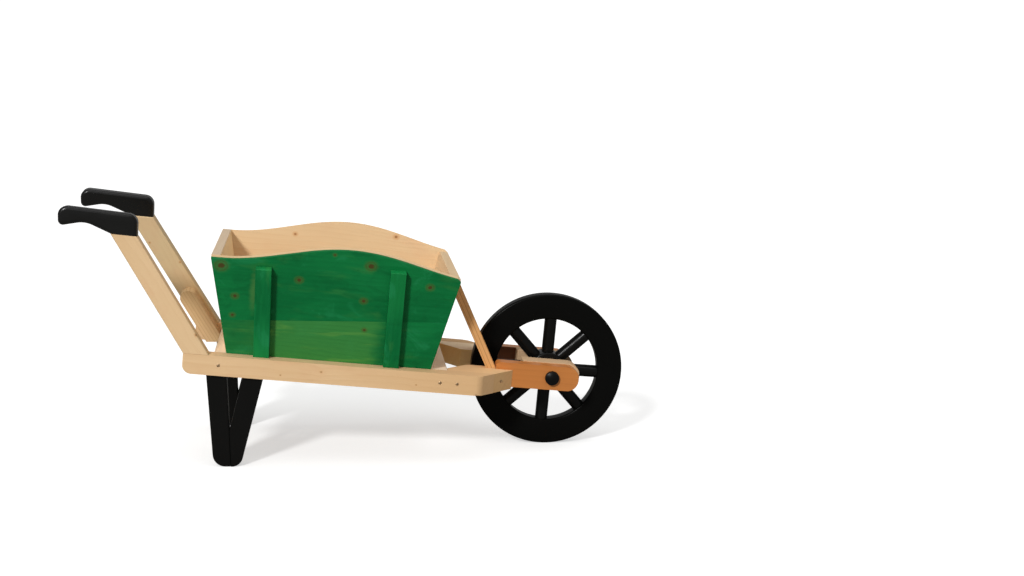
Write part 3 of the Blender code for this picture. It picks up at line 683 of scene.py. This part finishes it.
def frame_timbers(side, sign, seed):
    """Beam, nose block, posts, legs and the rest of one side."""
    beam = pine(f"beam_{side}_pine", seed, "plain", BEAM_KNOTS, "beam", deepens=BEAM_DEEPENS)
    timber("side_beam_" + side, deck @ about("X", QUARTER), beam,
           soft_corner=Vector((NOSE_OUTER_X, -sign * BEAM_OUTER)))

    nose = timber("nose_block_" + side, deck,
                  pine(f"nose_{side}_pine", seed + 1, side + " nose lit top", pith="nose"))
    # The sides take the darker copy of the pine: painted shade.
    second_material(nose, pine(f"nose_{side}_shaded_sides", seed + 1, side + " nose shaded sides", pith="nose"),
                    lambda normal: normal.z <= 0.7)

    node = "handle_post_" + side
    post_lean = sign * POST_LEAN
    post = pine(f"post_{side}_pine", seed + 2, side + " post", POST_KNOTS[side], "post")
    timber(node, along(node, POST_TILT, post_lean), post)
    node = "post_doubler_" + side
    doubler = pine(f"doubler_{side}_pine", seed + 3, "doubler", plies=PLIES["doubler"])
    timber(node, along(node, POST_TILT, post_lean), doubler)

    for board, tilt in LEG_TILTS.items():
        node = f"leg_{board}_board_{side}"
        paint = black_gloss(f"leg_{board}_{side}_black", seed + 4, roughness=0.28)
        timber(node, along(node, tilt), paint, joint_share=LEG_JOINT_SHARE)

    node = "strut_" + side
    strut = pine(f"strut_{side}_plywood", seed + 5, "strut", plies=PLIES["strut"])
    timber(node, along(node, STRUT_TILT), strut, ARRIS["strut"])

    plate = timber("fork_plate_" + side, arms, varnished(f"fork_{side}_varnish", seed + 6), ARRIS["fork"])
    # The plates' inner faces take the darker varnish: painted shade.
    second_material(plate, varnished(f"fork_{side}_inner", seed + 6, "inside"),
                    lambda normal: normal.y * sign < -0.7)
    timber("axle_block_" + side, arms, pine(f"axle_block_{side}_pine", seed + 7, "axle block"))
    timber("floor_board_" + side, deck, pine(f"floor_{side}_pine", seed + 8), ARRIS["floor"])


def box_ends(seed):
    """Front and rear panels and cross rails, their grain across the barrow. The rear's sawn top is greyer."""
    sideways = deck @ about("Z", QUARTER)
    for end in ("front", "rear"):
        for level in ("lower", "upper"):
            node = f"{end}_board_{level}"
            wood = pine(node + "_pine", seed, end + " panel", pith="panel")
            board = timber(node, sideways, wood, ARRIS["board"])
            if end == "rear":
                second_material(board, pine(node + "_sawn", seed + 1, "sawn edge"),
                                lambda normal: normal.z > 0.95)
            seed += END_SEEDS
    for end in ("front", "rear"):
        node = end + "_cross_rail"
        # The rails take the paler pine: painted light against the box's shade.
        timber(node, sideways, pine(node + "_pine", seed, "cross rail"))
        seed += END_SEEDS


# ---------------------------------------------------------------- hand grips

def rounded(corners, steps):
    """An outline whose corners (a, b, radius) are rounded with arcs."""
    outline = []
    for index, (a, b, radius) in enumerate(corners):
        corner = Vector((a, b))
        if not radius:
            outline.append(corner)
            continue
        before = (Vector(corners[index - 1][:2]) - corner).normalized()
        after = (Vector(corners[(index + 1) % len(corners)][:2]) - corner).normalized()
        half_angle = before.angle(after) / 2
        centre = corner + (before + after).normalized() * radius / math.sin(half_angle)
        first = corner + before * radius / math.tan(half_angle) - centre
        last = corner + after * radius / math.tan(half_angle) - centre
        sweep = first.angle(last)
        for step in range(steps + 1):
            share = step / steps
            swept = first * math.sin((1 - share) * sweep) + last * math.sin(share * sweep)
            outline.append(centre + swept / math.sin(sweep))
    return outline


def inset(outline, distance):
    """An anticlockwise outline moved inwards."""
    moved = []
    for index, point in enumerate(outline):
        before = (point - outline[index - 1]).normalized()
        after = (outline[(index + 1) % len(outline)] - point).normalized()
        inwards = Vector((-before.y - after.y, before.x + after.x)).normalized()
        half_turn = before.angle(after) / 2
        moved.append(point + inwards * distance / math.cos(half_turn))
    return moved


def rolled_edges():
    """How deep in a grip each of its layers lies, and how far in from the outline."""
    turns = [QUARTER * step / GRIP_LAYERS for step in range(GRIP_LAYERS + 1)]
    outer = [(GRIP_ROUNDING * (1 - math.cos(turn)), GRIP_ROUNDING * (1 - math.sin(turn))) for turn in turns]
    return outer + [(GRIP_THICKNESS - depth, reach) for depth, reach in reversed(outer)]


def up_the_post(height):
    """A height in the barrow, measured up the leaning post."""
    return (height - POST_FOOT_HEIGHT) / math.cos(POST_LEAN)


def hand_grip(side, sign, seed):
    """A gloss black grip with well rounded edges, cut off square on the post's top."""
    post_foot = Matrix.Translation((0, sign * POST_OUTER, POST_FOOT_HEIGHT))
    matrix = barrow @ post_foot @ about("X", sign * POST_LEAN)
    corners = [(x, up_the_post(height), radius) for x, height, radius in GRIP_CORNERS]
    outline = rounded(corners, GRIP_ARC_STEPS)
    shape = bmesh.new()
    rings = []
    for depth, reach in rolled_edges():
        rings.append([shape.verts.new((point.x, -sign * depth, point.y)) for point in inset(outline, reach)])
    for ring, following in zip(rings, rings[1:]):
        for index in range(len(ring)):
            shape.faces.new((ring[index - 1], ring[index], following[index], following[index - 1]))
    shape.faces.new(rings[0])
    shape.faces.new(rings[-1])
    run = Vector(GRIP_JOINT_FRONT) - Vector(GRIP_JOINT_REAR)
    post_top = Vector((GRIP_JOINT_REAR[0], 0, up_the_post(GRIP_JOINT_REAR[1])))
    everything = shape.verts[:] + shape.edges[:] + shape.faces[:]
    cut = bmesh.ops.bisect_plane(shape, geom=everything, plane_co=post_top, plane_no=(-run.y, 0, run.x),
                                 clear_inner=True)
    loop = [item for item in cut["geom_cut"] if isinstance(item, bmesh.types.BMEdge)]
    bmesh.ops.edgeloop_fill(shape, edges=loop)
    bmesh.ops.recalc_face_normals(shape, faces=shape.faces)
    piece = in_scene("grip_" + side, mesh_from(shape, "grip_" + side), matrix)
    shade(piece.data, TURNED_SHARP_FROM)
    piece.data.materials.append(black_gloss(f"grip_{side}_black", seed, roughness=0.2, shine=0.3))
    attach(piece, "barrow")
    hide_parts("hand_grip_" + side)


# ---------------------------------------------------------------- turned pieces

def arc_points(centre, radius, start, stop, steps):
    """Points on an arc, angles in degrees."""
    angles = [math.radians(start + (stop - start) * step / steps) for step in range(steps + 1)]
    return [(centre[0] + radius * math.cos(angle), centre[1] + radius * math.sin(angle)) for angle in angles]


def turned(name, profile, kind, matrix, material, body, closed=False):
    """A turned piece about its own Z axis, from (radius, height) points down its outer side."""
    shape = bmesh.new()
    points = [shape.verts.new((radius, 0, height)) for radius, height in profile]
    pairs = list(zip(points, points[1:]))
    if closed:
        pairs.append((points[-1], points[0]))
    for first, second in pairs:
        shape.edges.new((first, second))
    bmesh.ops.spin(shape, geom=shape.verts[:] + shape.edges[:], cent=(0, 0, 0), axis=(0, 0, 1),
                   angle=2 * math.pi, steps=TURNED_STEPS[kind])
    bmesh.ops.remove_doubles(shape, verts=shape.verts, dist=WELD / 2)
    bmesh.ops.recalc_face_normals(shape, faces=shape.faces)
    piece = in_scene(name, mesh_from(shape, name), matrix)
    shade(piece.data, TURNED_SHARP_FROM)
    piece.data.materials.append(material)
    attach(piece, body)
    return piece


def rim_profile():
    """The rim's section, with rounded edges and the faint grooves between its plies on the tread."""
    centre = WHEEL_RADIUS - RIM_EDGE
    steps = EDGE_STEPS["tread"]
    section = arc_points((centre, RIM_HALF_WIDTH - RIM_EDGE), RIM_EDGE, 90, 0, steps)
    for height in PLY_GROOVES_AT:
        section += [(WHEEL_RADIUS, height + PLY_GROOVE), (WHEEL_RADIUS - PLY_GROOVE, height),
                    (WHEEL_RADIUS, height - PLY_GROOVE)]
    section += arc_points((centre, RIM_EDGE - RIM_HALF_WIDTH), RIM_EDGE, 0, -90, steps)
    centre = RIM_INNER_RADIUS + RIM_INNER_EDGE
    steps = EDGE_STEPS["inner"]
    section += arc_points((centre, RIM_INNER_EDGE - RIM_HALF_WIDTH), RIM_INNER_EDGE, 270, 180, steps)
    section += arc_points((centre, RIM_HALF_WIDTH - RIM_INNER_EDGE), RIM_INNER_EDGE, 180, 90, steps)
    return section


def hub_profile():
    """The hub's section, with rounded edges."""
    centre = HUB_RADIUS - HUB_EDGE
    steps = EDGE_STEPS["hub"]
    section = [(HUB_BORE, HUB_HALF_WIDTH)]
    section += arc_points((centre, HUB_HALF_WIDTH - HUB_EDGE), HUB_EDGE, 90, 0, steps)
    section += arc_points((centre, HUB_EDGE - HUB_HALF_WIDTH), HUB_EDGE, 0, -90, steps)
    return section + [(HUB_BORE, -HUB_HALF_WIDTH)]


def wheel(seed):
    """Rim, hub and spokes of gloss black wood."""
    upright = Matrix.Translation(axle_point) @ about("X", -QUARTER)
    paint = black_gloss("rim_black", seed, dust=0.04, shine=0.05)
    rim = turned("rim_turned", rim_profile(), "rim", upright, paint, "wheel", closed=True)
    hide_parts("wheel_rim")
    paint = black_gloss("hub_black", seed + 1)
    hub = turned("hub_turned", hub_profile(), "hub", upright, paint, "wheel", closed=True)
    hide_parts("wheel_hub")
    inner = HUB_RADIUS - SPOKE_INTO_HUB
    outer = RIM_INNER_RADIUS + SPOKE_INTO_RIM
    profile = [(0, outer), (SPOKE_RADIUS, outer), (SPOKE_RADIUS, inner), (0, inner)]
    for index in range(SPOKE_COUNT):
        turn = upright @ about("X", QUARTER) @ about("Y", SPOKE_TURN + 2 * math.pi * index / SPOKE_COUNT)
        paint = black_gloss(f"spoke_black_{index + 1}", seed + 2)
        spoke = turned(f"spoke_turned_{index + 1}", profile, "spoke", turn, paint, "wheel")
        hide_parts(f"wheel_spoke_{index + 1}")


def cap_profile(radius, height):
    """A low dome on a short straight edge."""
    rise = height * DOME_SHARE
    dome = (radius ** 2 + rise ** 2) / (2 * rise)
    profile = [(0, height)]
    for step in range(1, DOME_STEPS + 1):
        reach = (radius - DOME_INSET) * step / DOME_STEPS
        profile.append((reach, height - dome + math.sqrt(dome ** 2 - reach ** 2)))
    return profile + [(radius, CAP_EDGE), (radius, 0), (0, 0)]


def washer_profile(outer, half):
    """A flat ring with its outer edges taken off."""
    edge = WASHER_EDGE
    return [(WASHER_BORE, half), (outer - edge, half), (outer, half - edge), (outer, edge - half),
            (outer - edge, -half), (WASHER_BORE, -half)]


def axle_fittings(seed):
    """Washers, axle caps and the axle itself."""
    for side, sign in SIDES.items():
        low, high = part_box("axle_cap_" + side)
        face = low.y if sign > 0 else high.y
        outwards = Matrix.Translation((axle_point.x, face, axle_point.z)) @ about("X", -sign * QUARTER)
        profile = cap_profile((high.x - low.x) / 2, high.y - low.y)
        paint = black_gloss(f"cap_{side}_black", seed, roughness=0.3)
        cap = turned(f"cap_{side}", profile, "fitting", outwards, paint, "barrow")
        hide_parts("axle_cap_" + side)
        low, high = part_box("axle_washer_" + side)
        middle = Matrix.Translation((axle_point.x, (low.y + high.y) / 2, axle_point.z)) @ about("X", QUARTER)
        profile = washer_profile((high.x - low.x) / 2, (high.y - low.y) / 2)
        plating = steel(f"washer_{side}_steel", seed + 1)
        washer = turned(f"washer_{side}", profile, "fitting", middle, plating, "barrow", closed=True)
        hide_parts("axle_washer_" + side)
    axle = cad_nodes["axle"]
    axle.data.materials.clear()
    axle.data.materials.append(steel("axle_steel", seed + 2))


def cut_recess(screw, name, turn):
    """Cut one slot of a cross recess into a screw's head."""
    shape = bmesh.new()
    bmesh.ops.create_cube(shape, size=1)
    bmesh.ops.scale(shape, verts=shape.verts, vec=RECESS)
    bmesh.ops.rotate(shape, verts=shape.verts, cent=(0, 0, 0), matrix=about("Z", turn))
    tool = in_scene(name, mesh_from(shape, name), screw.matrix_world.copy())
    cut = screw.modifiers.new("recess", "BOOLEAN")
    cut.operation = "DIFFERENCE"
    cut.object = tool
    bpy.context.view_layer.update()
    settle(screw)
    bpy.data.objects.remove(tool)


def screws(seed):
    """Countersunk screws with a cross recess."""
    for side, sign in SIDES.items():
        for where in ("rear_rail", "front_rail", "nose_block", "fork"):
            node = f"screw_{where}_{side}"
            low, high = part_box(node)
            length = high.y - low.y
            centre = node_centre(node)
            face = high.y if sign > 0 else low.y
            matrix = Matrix.Translation((centre.x, face, centre.z)) @ about("X", -sign * QUARTER)
            matrix = matrix @ about("Z", FIRST_TURN + centre.x * TURN_PER_METRE)
            profile = [(0, 0), (HEAD_FACE_RADIUS, 0), (HEAD_RADIUS, -HEAD_TOP), (HEAD_RADIUS, -HEAD_BOTTOM),
                       (NECK_RADIUS, -NECK_DEPTH), (SHANK_RADIUS, POINT_LENGTH - length), (0, -length)]
            screw = turned(f"screw_detail_{where}_{side}", profile, "screw", matrix,
                           steel(node + "_steel", seed, "brassy"), "barrow")
            for turn in (0, 1):
                cut_recess(screw, f"recess_{where}_{side}_{turn}", turn * QUARTER)
            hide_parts(node)
            seed += 1


# ---------------------------------------------------------------- studio

def seen_and_given(tree, output, given, seen):
    """Show the camera one shader, and light the scene with another."""
    camera_ray = add_node(tree, "ShaderNodeLightPath").outputs["Is Camera Ray"]
    both = add_node(tree, "ShaderNodeMixShader", {0: camera_ray, 1: given.outputs[0], 2: seen.outputs[0]})
    tree.links.new(both.outputs[0], tree.nodes[output].inputs["Surface"])


def backdrop():
    """A white surround that gives a dim even fill."""
    world = bpy.data.worlds.new("studio")
    bpy.context.scene.world = world
    world.use_nodes = True
    tree = world.node_tree
    fill = tree.nodes["Background"]
    fill.inputs["Color"].default_value = WHITE
    fill.inputs["Strength"].default_value = FILL
    white = add_node(tree, "ShaderNodeBackground", {"Color": WHITE, "Strength": BACKDROP})
    seen_and_given(tree, "World Output", fill, white)


def pale_floor():
    """A plain pale floor that gives back little light."""
    shape = bmesh.new()
    bmesh.ops.create_grid(shape, x_segments=2, y_segments=2, size=FLOOR_SIZE)
    floor = in_scene("floor", mesh_from(shape, "floor"), Matrix())
    material, tree, shader = new_material("pale_floor", Roughness=0.9, Specular_IOR_Level=0.0)
    cloud = noise(tree, shifted_place(tree, 1), 3.0)
    first, second = FLOOR_TONES
    tree.links.new(mix(tree, cloud, srgb(*first), srgb(*second)), shader.inputs["Base Color"])
    shader.inputs["Emission Color"].default_value = WHITE
    shader.inputs["Emission Strength"].default_value = FLOOR_GLOW
    bounce = add_node(tree, "ShaderNodeBsdfDiffuse", {"Color": FLOOR_BOUNCE})
    seen_and_given(tree, "Material Output", bounce, shader)
    floor.data.materials.append(material)


def lights():
    """A key light from behind the camera, on its left, and a broad soft one overhead."""
    for name, (strength, spread, travel) in LIGHTS.items():
        light = bpy.data.lights.new(name, "SUN")
        light.energy = strength
        light.angle = spread
        in_scene(name, light, travel.to_track_quat("-Z", "Y").to_matrix().to_4x4())


def camera():
    """The camera, from the barrow's right and a little from behind."""
    data = bpy.data.cameras.new("camera")
    data.lens = CAMERA_LENS
    data.sensor_width = SENSOR_WIDTH
    flat = math.cos(CAMERA_ELEVATION)
    forward = Vector((-math.sin(CAMERA_AZIMUTH) * flat, math.cos(CAMERA_AZIMUTH) * flat,
                      -math.sin(CAMERA_ELEVATION)))
    right = forward.cross(Vector((0, 0, 1))).normalized()
    up = right.cross(forward)
    rolled_right = math.cos(CAMERA_ROLL) * right + math.sin(CAMERA_ROLL) * up
    rolled_up = -math.sin(CAMERA_ROLL) * right + math.cos(CAMERA_ROLL) * up
    turn = Matrix((rolled_right, rolled_up, -forward)).transposed().to_4x4()
    place = Matrix.Translation(CAMERA_TARGET - forward * CAMERA_DISTANCE)
    bpy.context.scene.camera = in_scene("camera", data, place @ turn)


bpy.context.scene.view_settings.view_transform = "Standard"
backdrop()
pale_floor()
lights()
camera()
for number, (side, sign) in enumerate(SIDES.items()):
    side_boards(side, sign, SEEDS["boards"] + SIDE_SEEDS * number)
    frame_timbers(side, sign, SEEDS["timbers"] + SIDE_SEEDS * number)
    hand_grip(side, sign, SEEDS["grips"] + number)
box_ends(SEEDS["ends"])
wheel(SEEDS["wheel"])
axle_fittings(SEEDS["axle"])
screws(SEEDS["screws"])
